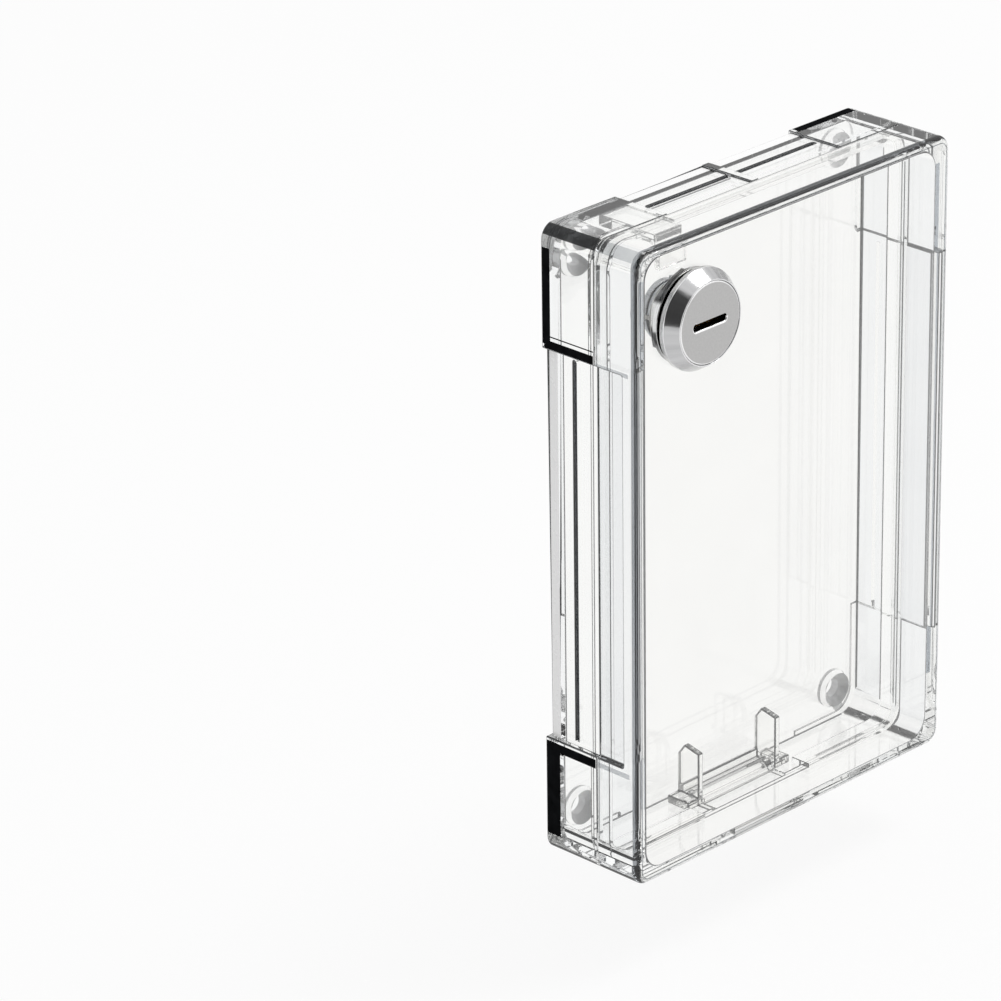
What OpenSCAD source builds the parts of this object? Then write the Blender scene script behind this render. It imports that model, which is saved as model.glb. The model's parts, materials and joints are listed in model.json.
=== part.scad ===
// Clear thermostat lock box: a tray screwed to the wall, a hinged cover that snaps on a rod
// at the bottom, and a cam lock through the cover's front panel.
// Every piece is drawn in the wall frame: x right, y up, z straight out of the wall,
// with z = 0 on the wall and x = y = 0 at the middle of the screw pattern.

/* [Box] */
// Width over the corner blocks
box_w = 102; // [94:1:130]
// Height of the box
box_h = 150; // [138:1:190]
// Depth from the wall to the front face
box_d = 28; // [27:0.5:36]
// Thickness of the side walls
wall_t = 2.4; // [2:0.1:2.8]
// Thickness of the front panel
panel_t = 2.6; // [2.2:0.1:3]
// Thickness of the back plate
plate_t = 3; // [2.4:0.1:3.6]
// Radius of the four corners, seen from the front
corner_r = 3.6; // [3.2:0.1:5]
// Radius of the coves in the four inner corners
cove_r = 5.2; // [4:0.1:6]
// Radius of the rounded edge round the front
edge_r = 1.6; // [1:0.1:1.7]

/* [Corner blocks] */
// Width of a corner block along the top
block_w = 23; // [21:0.5:26]
// Height of a corner block along the side
block_h = 28.5; // [27:0.5:34]
// How far the feet under the blocks stand proud of the back plate's rear face
rear_step = 0.8; // [0.4:0.1:1.2]
// How deep the panel between two blocks is set back at the sides
side_recess = 1.2; // [0.8:0.1:1.5]
// How deep the tray's panel between two blocks is set back at the top
top_recess = 0.5; // [0.3:0.1:0.8]
// Distance from the wall to the front end of the set-back side panels
recess_z = 23.6; // [22:0.2:24]
// Width of the rib left in the middle of the tray's top
land_w = 2.2; // [1.6:0.2:4]

/* [Seam] */
// Distance from the wall to the seam between tray and cover
seam_z = 15.6; // [15:0.1:16]
// Gap between tray and cover at the seam
seam_gap = 0.2; // [0.15:0.05:0.3]
// Gap between the tray's lip and the cover's inner face
lip_gap = 0.25; // [0.2:0.05:0.35]
// Thickness of the lip
lip_t = 1.1; // [0.9:0.1:1.3]
// How far the lip stands into the cover
lip_h = 2; // [1.2:0.1:2.2]
// How far down inside the tray the lip is rooted
lip_root = 3.2; // [2.4:0.2:4]

/* [Vents] */
// Distance from the wall to the middle of the vent slots
vent_z = 8.8; // [7.8:0.1:10]
// Width of a vent slot
vent_w = 1; // [0.8:0.1:1.6]
// Distance from a slot's end to the corner block
vent_end = 1; // [0.8:0.1:3]

/* [Wall screws] */
// Distance of the screw holes from the box's side faces
screw_in_x = 10; // [9.5:0.5:13]
// Distance of the screw holes from the top and bottom
screw_in_y = 9; // [8.5:0.5:12]
// Radius of the screw holes
screw_r = 2.25; // [1.8:0.05:2.6]
// Radius of the countersinks at the plate's front face
sink_r = 4.1; // [3.6:0.1:4.2]
// Radius of the seat behind each screw hole
seat_r = 4.6; // [4:0.1:6]

/* [Hinge] */
// Sideways place of the middle of the hinge
hinge_x = -1.9; // [-8:0.1:8]
// Clear width between the two cheeks
cheek_gap = 24.2; // [18:0.2:30]
// Thickness of a cheek
cheek_t = 1.6; // [1.4:0.1:2.2]
// Height of a cheek above the tray's floor
cheek_h = 14; // [11:0.5:18]
// Depth of a cheek from its rear edge to its front edge
cheek_d = 6.4; // [6.2:0.1:7.6]
// Length of the foot on the outside of each cheek
foot_l = 3.4; // [3:0.2:6]
// Thickness of the foot
foot_t = 2; // [1.8:0.1:2.6]
// Radius of the hinge rod
rod_r = 1.5; // [1.2:0.05:1.6]
// Distance from the wall to the axis of the rod
rod_z = 9.6; // [9.4:0.1:9.8]
// Height of the rod's axis above the tray's floor face
rod_up = 0.2; // [0.1:0.05:0.4]
// Running gap between the rod and the cover's hook
rod_gap = 0.1; // [0.06:0.01:0.1]
// Outer radius of the cover's hook
hook_r = 2.6; // [2.5:0.05:2.7]
// Gap between the hook and each cheek
hook_side_gap = 0.4; // [0.3:0.1:0.8]
// Thickness of the strip that joins the two cheeks behind the rod
strip_t = 0.9; // [0.8:0.05:1]
// Height of that strip above the floor
strip_h = 3.4; // [2.4:0.2:5]
// Extra relief at the tray's bottom edge, so that the cover can swing past it
swing_relief = 0.6; // [0.5:0.05:0.9]

/* [Lock] */
// Distance of the lock's axis from the box's left side face
lock_in_x = 18.3; // [17.8:0.5:30]
// Distance of the lock's axis below the top
lock_in_y = 19.2; // [18.6:0.1:19.6]
// Radius of the lock's head
head_r = 11.65; // [10.6:0.05:11.9]
// Height of the head's upright rim
rim_h = 1; // [0.5:0.1:1.2]
// Height of the head's bevel
bevel_h = 3.1; // [2.4:0.1:3.6]
// How far the bevel runs in towards the face
bevel_in = 2; // [1.4:0.1:2.4]
// Width of the thin edge left round the face disc
face_edge = 0.2; // [0.15:0.05:0.5]
// Thickness of the rubber gasket under the head
gasket_t = 0.4; // [0.3:0.1:0.8]
// How far the gasket's rim stays inside the head's rim
gasket_in = 1.6; // [0.6:0.1:2]
// Radius of the threaded barrel
barrel_r = 8; // [7.6:0.1:8.2]
// Width across the barrel's two flats
flats_w = 14; // [13.4:0.1:14.6]
// Length of the barrel behind the front face of the panel
barrel_l = 7.9; // [7.8:0.1:8.4]
// Gap round the barrel in the panel, gasket, washer and nut
barrel_gap = 0.15; // [0.1:0.05:0.3]
// Thickness of the round washer behind the panel
washer_t = 1.6; // [1.2:0.1:3]
// Radius of that washer
washer_r = 10.8; // [10.5:0.1:11.6]
// Least thickness of the nut beside its bore
nut_wall = 0.85; // [0.6:0.05:1.35]
// Thickness of the nut
nut_t = 1.8; // [1.6:0.1:1.9]

/* [Plug] */
// Radius of the plug's core
core_r = 5.5; // [5.4:0.05:5.8]
// Running gap round the core and the face disc
core_gap = 0.06; // [0.04:0.01:0.1]
// Thickness of the face disc
disc_t = 1.5; // [1.2:0.1:2]
// Width of the key slot in the face disc
slot_w = 10.3; // [8:0.1:11]
// Height of the key slot
slot_h = 1.5; // [1.2:0.05:1.8]
// Width of the keyway inside the core
keyway_w = 8.6; // [7.4:0.1:8.8]
// Length of the core behind the barrel's rear end
core_tail = 0.9; // [0.8:0.05:1]
// Width of the square tail that drives the cam
tail_w = 6.6; // [6:0.1:7]
// Gap round the square tail
tail_gap = 0.06; // [0.04:0.01:0.1]
// Thickness of the retaining clip
clip_t = 0.5; // [0.4:0.05:0.6]
// Radius of the retaining clip
clip_r = 6.1; // [6:0.05:6.15]
// Number of wafers in the core
wafer_n = 5; // [3:1:5]
// Thickness of a wafer
wafer_t = 1; // [0.8:0.05:1.1]
// Distance from one wafer to the next
wafer_pitch = 1.75; // [1.7:0.05:1.8]

/* [Cam] */
// Reach of the cam from the lock's axis
cam_l = 12.6; // [12:0.1:12.8]
// Width of the cam's arm
cam_w = 9; // [7:0.5:10]
// Thickness of the cam
cam_t = 1.6; // [1.4:0.1:1.8]
// Thickness of the stop washer in front of the cam
stop_t = 0.8; // [0.6:0.1:1]
// Radius of the screw that holds the cam
cam_screw_r = 1.95; // [1.45:0.05:2]
// Gap between the cam and the keeper when the lock is shut
keeper_gap = 0.5; // [0.4:0.1:0.8]
// Width of the keeper
keeper_w = 8.6; // [8:0.2:12]
// How far the keeper's catch hangs down from the top wall
keeper_drop = 6.6; // [6:0.1:7]
// Thickness of the keeper's catch
keeper_t = 1.5; // [1.2:0.1:1.6]
// Thickness of the keeper's web
web_t = 2.2; // [2:0.1:2.4]

/* [Hidden] */
$fn = 64;
eps = 0.01;
slack = 0.3;
over = 40;

floor_z = rear_step + plate_t;
panel_z = box_d - panel_t;
cover_z = seam_z + seam_gap;
side_half = box_h / 2 - block_h;
top_half = box_w / 2 - block_w;
floor_y = -box_h / 2 + wall_t;
roof_y = box_h / 2 - wall_t;
inner_w = box_w - 2 * (side_recess + wall_t);
inner_h = box_h - 2 * wall_t;

screw_x = box_w / 2 - screw_in_x;
screw_y = box_h / 2 - screw_in_y;
sink_h = sink_r - screw_r;

rod_y = floor_y + rod_up;
rod_fit = 0.05;
slot_z = rod_z - hook_r - slack;
cheek_z = slot_z - 0.2 - strip_t;
hook_w = cheek_gap - 2 * hook_side_gap;
rod_l = cheek_gap + 2 * cheek_t + 2 * foot_l - 1.6;
hook_step_z = rod_z + hook_r - slack;

lock_x = -box_w / 2 + lock_in_x;
lock_y = box_h / 2 - lock_in_y;
head_z = box_d + gasket_t;
face_z = head_z + rim_h + bevel_h;
face_r = head_r - bevel_in;
disc_r = face_r - face_edge - core_gap;
disc_z = face_z - disc_t;
barrel_z = box_d - barrel_l;
washer_z = panel_z - washer_t;
nut_z = washer_z - nut_t;
nut_w = 2 * (barrel_r + barrel_gap + nut_wall);
core_z = barrel_z - core_tail;
clip_z = barrel_z - 0.15 - clip_t;
stop_z = core_z - 0.1 - stop_t;
cam_z = stop_z - 0.1 - cam_t;
star_t = 0.6;
star_z = cam_z - 0.1 - star_t;
screw_head_t = 1.8;
screw_head_r = 3.6;
screw_hole_l = 4.6;
tail_z = cam_z + 0.1;
keyway_z = tail_z + screw_hole_l + 0.4;
wafer_z = keyway_z + 0.5;
wafer_r = core_r - 0.2;
wafer_h = 4.8;
lug_h = 1.5;
lug_w = 1;
spring_r = 0.55;
spring_l = 2.6;
spring_off = 0.15;
stop_pin_r = 0.5;
stop_pin_at = 6.8;
keeper_z = cam_z + cam_t + keeper_gap;

// Colours: two tones of clear plastic, satin and polished metal, rubber, steel
clear = [0.86, 0.9, 0.92, 0.55];
satin = [0.72, 0.72, 0.72];
polished = [0.85, 0.86, 0.88];
rubber = [0.08, 0.08, 0.08];
steel = [0.6, 0.61, 0.63];
brass = [0.8, 0.66, 0.35];

// Stands the wall frame up: z out of the wall becomes -Y, and y up becomes +Z
module on_wall() {
    rotate([90, 0, 0])
        children();
}

module at_lock(z = 0) {
    translate([lock_x, lock_y, z])
        children();
}

module mirrored_x() {
    children();
    mirror([1, 0, 0])
        children();
}

module in_corners() {
    mirrored_x()
        children();
    mirror([0, 1, 0])
        mirrored_x()
            children();
}

// Rectangle with round corners, made of squares and circles so that its arcs stay true
module rounded(w, h, r) {
    square([w - 2 * r, h], center = true);
    square([w, h - 2 * r], center = true);
    for (x = [-1, 1], y = [-1, 1])
        translate([x * (w / 2 - r), y * (h / 2 - r)])
            circle(r);
}

// Outline of the box; between the corner blocks the side panels are set back, and on the tray
// the top panel too
module outline(top_step = 0) {
    difference() {
        rounded(box_w, box_h, corner_r);
        mirrored_x()
            translate([box_w / 2 - side_recess, -side_half])
                square([over, 2 * side_half]);
        if (top_step > 0)
            translate([-top_half, box_h / 2 - top_step])
                square([2 * top_half, over]);
    }
}

// Outline of the room inside, drawn in by inset: its sides are straight and its corners coved
module inside(inset = 0) {
    rounded(inner_w - 2 * inset, inner_h - 2 * inset, max(cove_r - inset, 0.5));
}

// Ring that follows the room's outline, from outer inset to inner inset
module ring(outer, inner, z0, z1) {
    translate([0, 0, z0])
        linear_extrude(z1 - z0)
            difference() {
                inside(outer);
                inside(inner);
            }
}

// Section through the slab's rim: u outward to reach, v forward to t, its outer front corner rounded
module rim_section(reach, t) {
    square([reach - edge_r, t]);
    square([reach, t - edge_r]);
    translate([reach - edge_r, t - edge_r])
        circle(edge_r);
}

// Slab with round corners whose front edge is rounded too
module rounded_slab(w, h, t) {
    corners = [w / 2 - corner_r, h / 2 - corner_r];
    translate([-corners.x, -corners.y, 0])
        cube([2 * corners.x, 2 * corners.y, t]);
    for (side = [0, 180]) {
        rotate(side)
            translate([corners.x, 0, 0])
                rotate([90, 0, 0])
                    linear_extrude(2 * corners.y, center = true)
                        rim_section(corner_r, t);
        rotate(side + 90)
            translate([corners.y, 0, 0])
                rotate([90, 0, 0])
                    linear_extrude(2 * corners.x, center = true)
                        rim_section(corner_r, t);
    }
    for (x = [-1, 1], y = [-1, 1])
        translate([x * corners.x, y * corners.y, 0])
            rotate_extrude()
                rim_section(corner_r, t);
}

// Rib left standing in the middle of the top's set-back panel
module top_land() {
    translate([-land_w / 2, roof_y, rear_step])
        cube([land_w, wall_t, seam_z - rear_step]);
}

// Cylinder that lies along x
module across(r, w) {
    rotate([0, 90, 0])
        cylinder(r = r, h = w, center = true);
}

module vents() {
    mirrored_x()
        translate([box_w / 2, 0, vent_z])
            cube([4 * wall_t, 2 * (side_half - vent_end), vent_w], center = true);
    mirrored_x()
        translate([land_w / 2, box_h / 2 - 2 * wall_t, vent_z - vent_w / 2])
            cube([top_half - vent_end - land_w / 2, 4 * wall_t, vent_w]);
}

module wall_screw_hole() {
    translate([screw_x, screw_y, -eps])
        cylinder(r = screw_r, h = floor_z + 2 * eps);
    translate([screw_x, screw_y, floor_z - sink_h])
        cylinder(r1 = screw_r, r2 = sink_r, h = sink_h + eps);
}

// Cut through the lip where the bracket (side = -1) or the keeper (side = 1) stands
module lip_break(x, w, side) {
    inner_y = side > 0 ? roof_y : -floor_y;
    reach = lip_gap + lip_t + 1;
    mirror([0, side > 0 ? 0 : 1, 0])
        translate([x - w / 2, inner_y - reach, seam_z - lip_root - eps])
            cube([w, reach, lip_root + lip_h + 1]);
}

// The corner blocks' walls run on to the wall, and so does a round seat behind each screw hole
module feet() {
    linear_extrude(rear_step + eps)
        intersection() {
            difference() {
                outline();
                inside();
            }
            in_corners()
                translate([top_half, side_half])
                    square([over, over]);
        }
    in_corners()
        translate([screw_x, screw_y, 0])
            cylinder(r = seat_r, h = rear_step + eps);
}

// Tray: back plate, feet, walls to the seam and a lip that stands into the cover
module base_shell() {
    color(clear)
        on_wall()
            difference() {
                union() {
                    translate([0, 0, rear_step])
                        linear_extrude(plate_t)
                            outline(top_recess);
                    translate([0, 0, rear_step])
                        linear_extrude(seam_z - rear_step)
                            difference() {
                                outline(top_recess);
                                inside();
                            }
                    feet();
                    ring(-1, lip_gap + lip_t, seam_z - lip_root, seam_z - 0.4);
                    ring(lip_gap, lip_gap + lip_t, seam_z - lip_root, seam_z + lip_h);
                    top_land();
                }
                vents();
                in_corners()
                    wall_screw_hole();
                translate([hinge_x - cheek_gap / 2, -box_h / 2 - 1, slot_z])
                    cube([cheek_gap, wall_t + lip_gap + lip_t + 2, over]);
                translate([-box_w, -box_h / 2 - 1, seam_z - swing_relief])
                    cube([2 * box_w, wall_t + 1, swing_relief + 1]);
                translate([hinge_x, rod_y, rod_z])
                    across(rod_r + rod_fit, rod_l + 2 * slack);
                lip_break(hinge_x, cheek_gap + 2 * (cheek_t + foot_l + slack), -1);
                lip_break(lock_x, keeper_w + 2 * slack, 1);
            }
}

// Outline of a cheek seen from the side: u forward from its rear edge, v up from the floor
module cheek_outline() {
    rear_cut = 1.9;
    rear_drop = 2.6;
    front_drop = 1;
    polygon([
        [0, 0],
        [cheek_d, 0],
        [cheek_d, cheek_h - front_drop],
        [rear_cut, cheek_h],
        [0, cheek_h - rear_drop]
    ]);
}

// Turns an outline drawn as (forward, up) into a plate across the box, from x to x + w
module upright(x, w) {
    translate([x, 0, 0])
        rotate([90, 0, 90])
            linear_extrude(w)
                mirror([1, 0])
                    rotate(90)
                        children();
}

// Two cheeks joined by a low strip behind the rod; their feet are bonded to the tray's floor
module hinge_bracket() {
    outer = cheek_gap / 2 + cheek_t;
    color(clear)
        on_wall()
            translate([hinge_x, floor_y, cheek_z])
                difference() {
                    union() {
                        for (x = [-outer, cheek_gap / 2])
                            upright(x, cheek_t)
                                cheek_outline();
                        translate([-outer, 0, 0])
                            cube([2 * outer, strip_h, strip_t]);
                        for (x = [-outer - foot_l, outer - eps])
                            translate([x, 0, 0])
                                cube([foot_l + eps, foot_t, cheek_d]);
                    }
                    translate([0, rod_up, rod_z - cheek_z])
                        across(rod_r + rod_fit, rod_l + 2 * slack);
                }
}

// Rod trapped between the tray's floor and the bracket
module hinge_rod() {
    color(clear)
        on_wall()
            translate([hinge_x, rod_y, rod_z])
                across(rod_r, rod_l);
}

// Web under the tray's top wall with a catch that hangs down in front of the cam
module keeper() {
    low = lip_gap + 0.2;
    color(clear)
        on_wall()
            translate([lock_x - keeper_w / 2, roof_y, 0]) {
                translate([0, -low - web_t, floor_z])
                    cube([keeper_w, web_t, keeper_z + keeper_t - floor_z]);
                translate([0, -low - eps, floor_z])
                    cube([keeper_w, low + eps, seam_z - slack - floor_z]);
                translate([0, -keeper_drop, keeper_z])
                    cube([keeper_w, keeper_drop - low, keeper_t]);
            }
}

// Hole for the barrel: a circle with two flats
module double_d(gap) {
    intersection() {
        circle(barrel_r + gap);
        square([over, flats_w + 2 * gap], center = true);
    }
}

// Cover: front panel, walls to the seam and the lock's hole
module cover_shell() {
    color(clear)
        on_wall()
            difference() {
                union() {
                    translate([0, 0, cover_z])
                        linear_extrude(recess_z - cover_z)
                            outline();
                    translate([0, 0, recess_z])
                        rounded_slab(box_w, box_h, box_d - recess_z);
                }
                translate([0, 0, cover_z - 1])
                    linear_extrude(panel_z - cover_z + 1)
                        inside();
                at_lock(panel_z - 1)
                    linear_extrude(panel_t + 2)
                        double_d(barrel_gap);
            }
}

// Section through the hook: u forward from the wall, v up from the middle of the box
module hook_outline() {
    throat = wall_t + rod_up - 0.6;
    mouth = hook_r - 0.4;
    difference() {
        union() {
            translate([rod_z, rod_y])
                circle(hook_r);
            translate([rod_z, -box_h / 2])
                square([cover_z - rod_z - eps, throat]);
            translate([hook_step_z, -box_h / 2])
                square([cover_z - hook_step_z - eps, wall_t]);
        }
        translate([rod_z, rod_y]) {
            circle(rod_r + rod_gap);
            square([mouth, hook_r + 1]);
        }
    }
}

// Snap hook: a split ring round the rod and a tongue that fills the tray's slot, welded end to
// end to the cover's bottom wall
module cover_hook() {
    color(clear)
        on_wall()
            upright(hinge_x - hook_w / 2, hook_w)
                hook_outline();
}

// Lock housing: bevelled head, barrel with two flats, bore for the plug and a stop pin behind
module lock_housing() {
    color(polished)
        on_wall()
            at_lock()
                difference() {
                    union() {
                        translate([0, 0, head_z])
                            cylinder(r = head_r, h = rim_h);
                        translate([0, 0, head_z + rim_h])
                            cylinder(r1 = head_r, r2 = face_r, h = bevel_h);
                        translate([0, 0, barrel_z])
                            linear_extrude(head_z - barrel_z + eps)
                                double_d(0);
                        translate([-stop_pin_at, 0, stop_z])
                            cylinder(r = stop_pin_r, h = barrel_z - stop_z + eps, $fn = 24);
                    }
                    translate([0, 0, barrel_z - 1])
                        cylinder(r = core_r + core_gap, h = over);
                    translate([0, 0, disc_z - core_gap])
                        cylinder(r = disc_r + core_gap, h = over);
                    for (a = [0, 90])
                        rotate(a)
                            translate([0, 0, (barrel_z + disc_z) / 2])
                                cube([2 * core_r + 1.4, wafer_h + 0.4, disc_z - barrel_z - 3], center = true);
                }
}

// Black rubber ring between the head and the panel
module head_gasket() {
    color(rubber)
        on_wall()
            at_lock(box_d)
                linear_extrude(gasket_t)
                    difference() {
                        circle(head_r - gasket_in);
                        double_d(barrel_gap);
                    }
}

// Round washer behind the panel, with a bevelled rear edge
module backing_washer() {
    edge = 0.5;
    color(polished)
        on_wall()
            at_lock()
                difference() {
                    union() {
                        translate([0, 0, washer_z + edge])
                            cylinder(r = washer_r, h = washer_t - edge);
                        translate([0, 0, washer_z])
                            cylinder(r1 = washer_r - edge, r2 = washer_r, h = edge + eps);
                    }
                    translate([0, 0, washer_z - 1])
                        linear_extrude(washer_t + 2)
                            double_d(barrel_gap);
                }
}

module lock_nut() {
    color(steel)
        on_wall()
            at_lock()
                difference() {
                    intersection() {
                        translate([0, 0, nut_z])
                            rotate(30)
                                cylinder(d = nut_w / cos(30), h = nut_t, $fn = 6);
                        translate([0, 0, nut_z])
                            cylinder(r1 = nut_w / 2 + 0.2, r2 = nut_w / 2 + 0.2 + 2 * nut_t, h = nut_t);
                    }
                    translate([0, 0, nut_z - 1])
                        cylinder(r = barrel_r + barrel_gap, h = nut_t + 2);
                }
}

// Solid of one wafer, centred on the core's axis with its rear face at z = 0
module wafer_body(shift) {
    linear_extrude(wafer_t)
        difference() {
            union() {
                intersection() {
                    circle(wafer_r);
                    square([2 * wafer_r, wafer_h], center = true);
                }
                translate([0, wafer_h / 2 - 0.2])
                    square([lug_w, lug_h - 0.1]);
            }
            translate([shift, 0])
                square([keyway_w - 0.4, slot_h + 0.4], center = true);
        }
}

// Cut in the core for one wafer, its lug and its spring
module wafer_cut() {
    room = 0.05;
    left = spring_off + spring_l + 0.25;
    right = lug_w + 0.4;
    translate([0, 0, wafer_t / 2])
        cube([2 * core_r + 2, wafer_h + 2 * room, wafer_t + 2 * room], center = true);
    translate([-left, wafer_h / 2 - 0.2, -room])
        cube([left + right, lug_h + room, wafer_t + 2 * room]);
}

function wafer_rear(i) = wafer_z + (i - 1) * wafer_pitch;

module wafer(i) {
    shift = 0.3 * ((i * 2) % 3 - 1);
    if (i <= wafer_n)
        color(brass)
            on_wall()
                at_lock(wafer_rear(i))
                    wafer_body(shift);
}

// Coil springs beside the wafers: each is a stack of joined rings
module wafer_springs() {
    wire_r = 0.16;
    turns = 7;
    color(steel)
        on_wall()
            for (i = [1 : wafer_n])
                at_lock(wafer_rear(i) + wafer_t / 2)
                    translate([-spring_off - spring_l, wafer_h / 2 + lug_h / 2 - 0.15, 0])
                        rotate([0, 90, 0])
                            rotate_extrude($fn = 24)
                                for (k = [0 : turns - 1])
                                    translate([spring_r - wire_r - 0.05, wire_r + k * (spring_l - 2 * wire_r) / (turns - 1)])
                                        square([wire_r, 2.9 * wire_r], center = true);
}

// Key slot: a rectangle with round ends
module key_slot() {
    square([slot_w - slot_h, slot_h], center = true);
    for (x = [-1, 1])
        translate([x * (slot_w - slot_h) / 2, 0])
            circle(slot_h / 2);
}

// Plug: face disc with the key slot, core with its keyway and wafer cuts, and square tail
module lock_plug() {
    color(satin)
        on_wall()
            at_lock()
                difference() {
                    union() {
                        translate([0, 0, disc_z])
                            cylinder(r = disc_r, h = disc_t);
                        translate([0, 0, core_z])
                            cylinder(r = core_r, h = disc_z - core_z + eps);
                        translate([-tail_w / 2, -tail_w / 2, tail_z])
                            cube([tail_w, tail_w, core_z - tail_z + eps]);
                    }
                    translate([0, 0, disc_z - eps])
                        linear_extrude(disc_t + 1)
                            key_slot();
                    translate([-keyway_w / 2, -slot_h / 2, keyway_z])
                        cube([keyway_w, slot_h, over]);
                    translate([0, 0, tail_z - 1])
                        cylinder(r = cam_screw_r + 0.05, h = screw_hole_l + 1);
                    translate([0, 0, clip_z - 0.05])
                        difference() {
                            cylinder(r = core_r + 1, h = clip_t + 0.1);
                            translate([0, 0, -1])
                                cylinder(r = core_r - 0.8, h = clip_t + 2);
                        }
                    for (i = [1 : wafer_n])
                        translate([0, 0, wafer_rear(i)])
                            wafer_cut();
                }
}

// Split ring in the groove at the core's rear end
module plug_clip() {
    split_w = 3.4;
    color(steel)
        on_wall()
            at_lock(clip_z)
                linear_extrude(clip_t)
                    difference() {
                        circle(clip_r);
                        circle(core_r - 0.75);
                        translate([0, -clip_r])
                            square([split_w, 2 * clip_r], center = true);
                    }
}

// Sector cut from angle a to angle b, out to a radius past the part
module sector(a, b) {
    far = 3 * stop_pin_at;
    polygon([
        [0, 0],
        [far * cos(a), far * sin(a)],
        [far * cos((a + b) / 2), far * sin((a + b) / 2)],
        [far * cos(b), far * sin(b)]
    ]);
}

// Disc on the square tail; the quarter cut out of its rim meets the housing's stop pin
module stop_washer() {
    rim_r = stop_pin_at + stop_pin_r;
    hub_r = stop_pin_at - stop_pin_r - 0.2;
    spare = 6;
    color(steel)
        on_wall()
            at_lock(stop_z)
                linear_extrude(stop_t)
                    difference() {
                        union() {
                            circle(hub_r);
                            difference() {
                                circle(rim_r);
                                sector(90 - spare, 180 + spare);
                            }
                        }
                        square(tail_w + 2 * tail_gap, center = true);
                    }
}

// Flat cam: it points right at rest and turns up behind the keeper's catch
module lock_cam() {
    hub_r = 6.4;
    color(steel)
        on_wall()
            at_lock(cam_z)
                linear_extrude(cam_t)
                    difference() {
                        union() {
                            circle(hub_r);
                            intersection() {
                                circle(cam_l);
                                translate([0, -cam_w / 2])
                                    square([over, cam_w]);
                            }
                        }
                        square(tail_w + 2 * tail_gap, center = true);
                    }
}

// Toothed washer under the cam screw's head
module star_washer() {
    teeth = 10;
    outer = screw_head_r + 0.6;
    color(steel)
        on_wall()
            at_lock(star_z)
                linear_extrude(star_t)
                    difference() {
                        circle(outer);
                        circle(cam_screw_r + 0.15);
                        for (k = [0 : teeth - 1])
                            rotate(k * 360 / teeth)
                                translate([outer, 0])
                                    circle(0.5, $fn = 16);
                    }
}

module cam_screw() {
    cross_w = 0.9;
    head_z0 = star_z - screw_head_t;
    color(steel)
        on_wall()
            at_lock()
                difference() {
                    union() {
                        translate([0, 0, head_z0 + 0.5])
                            cylinder(r = screw_head_r, h = screw_head_t - 0.5);
                        translate([0, 0, head_z0])
                            cylinder(r1 = screw_head_r - 0.6, r2 = screw_head_r, h = 0.5 + eps);
                        translate([0, 0, star_z - eps])
                            cylinder(r = cam_screw_r, h = tail_z + screw_hole_l - 0.4 - star_z);
                    }
                    for (a = [0, 90])
                        rotate(a)
                            translate([0, 0, head_z0])
                                cube([4.2, cross_w, 2], center = true);
                }
}

base_shell();
hinge_bracket();
hinge_rod();
keeper();
cover_shell();
cover_hook();
lock_housing();
head_gasket();
backing_washer();
lock_nut();
lock_plug();
wafer(1);  // wafer_1
wafer(2);  // wafer_2
wafer(3);  // wafer_3
wafer(4);  // wafer_4
wafer(5);  // wafer_5
wafer_springs();
plug_clip();
stop_washer();
lock_cam();
star_washer();
cam_screw();
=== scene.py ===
import json
import math

import bmesh
import bpy
from mathutils import Matrix, Vector
from mathutils.geometry import intersect_line_line_2d


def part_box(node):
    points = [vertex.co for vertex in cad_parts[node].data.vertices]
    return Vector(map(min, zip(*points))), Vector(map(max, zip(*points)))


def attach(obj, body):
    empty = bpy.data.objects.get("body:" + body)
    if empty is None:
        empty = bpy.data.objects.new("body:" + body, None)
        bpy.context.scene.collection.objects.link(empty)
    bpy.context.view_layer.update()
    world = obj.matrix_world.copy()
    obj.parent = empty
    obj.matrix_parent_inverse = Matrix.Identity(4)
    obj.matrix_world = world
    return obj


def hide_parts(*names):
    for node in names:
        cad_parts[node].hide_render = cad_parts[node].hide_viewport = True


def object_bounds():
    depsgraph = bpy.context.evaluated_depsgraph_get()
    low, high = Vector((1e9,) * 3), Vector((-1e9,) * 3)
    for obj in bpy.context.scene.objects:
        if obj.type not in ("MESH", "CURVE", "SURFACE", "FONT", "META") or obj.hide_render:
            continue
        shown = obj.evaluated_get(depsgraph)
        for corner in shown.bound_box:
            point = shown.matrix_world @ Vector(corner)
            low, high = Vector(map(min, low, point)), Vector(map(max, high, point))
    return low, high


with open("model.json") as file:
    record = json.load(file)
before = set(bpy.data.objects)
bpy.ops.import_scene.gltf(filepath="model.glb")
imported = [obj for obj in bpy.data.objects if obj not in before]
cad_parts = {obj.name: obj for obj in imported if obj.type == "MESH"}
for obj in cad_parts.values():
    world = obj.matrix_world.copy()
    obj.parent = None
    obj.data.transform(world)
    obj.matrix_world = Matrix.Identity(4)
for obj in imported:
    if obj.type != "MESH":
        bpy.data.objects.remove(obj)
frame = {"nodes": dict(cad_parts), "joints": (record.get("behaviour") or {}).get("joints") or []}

cad_box = [list(corner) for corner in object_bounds()]
scene = bpy.context.scene
nodes = frame["nodes"]


# ---- Camera
# A long lens stands to the front left of the box and a little above it. It is aimed beside
# the box, because the box fills only the right half of the picture.
camera_turn = 0.787814
camera_drop = 0.416787
camera_roll = -0.0140666
aim = Vector((-0.09233, -0.028, 0.03243))
aim_distance = 1.17047

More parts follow.
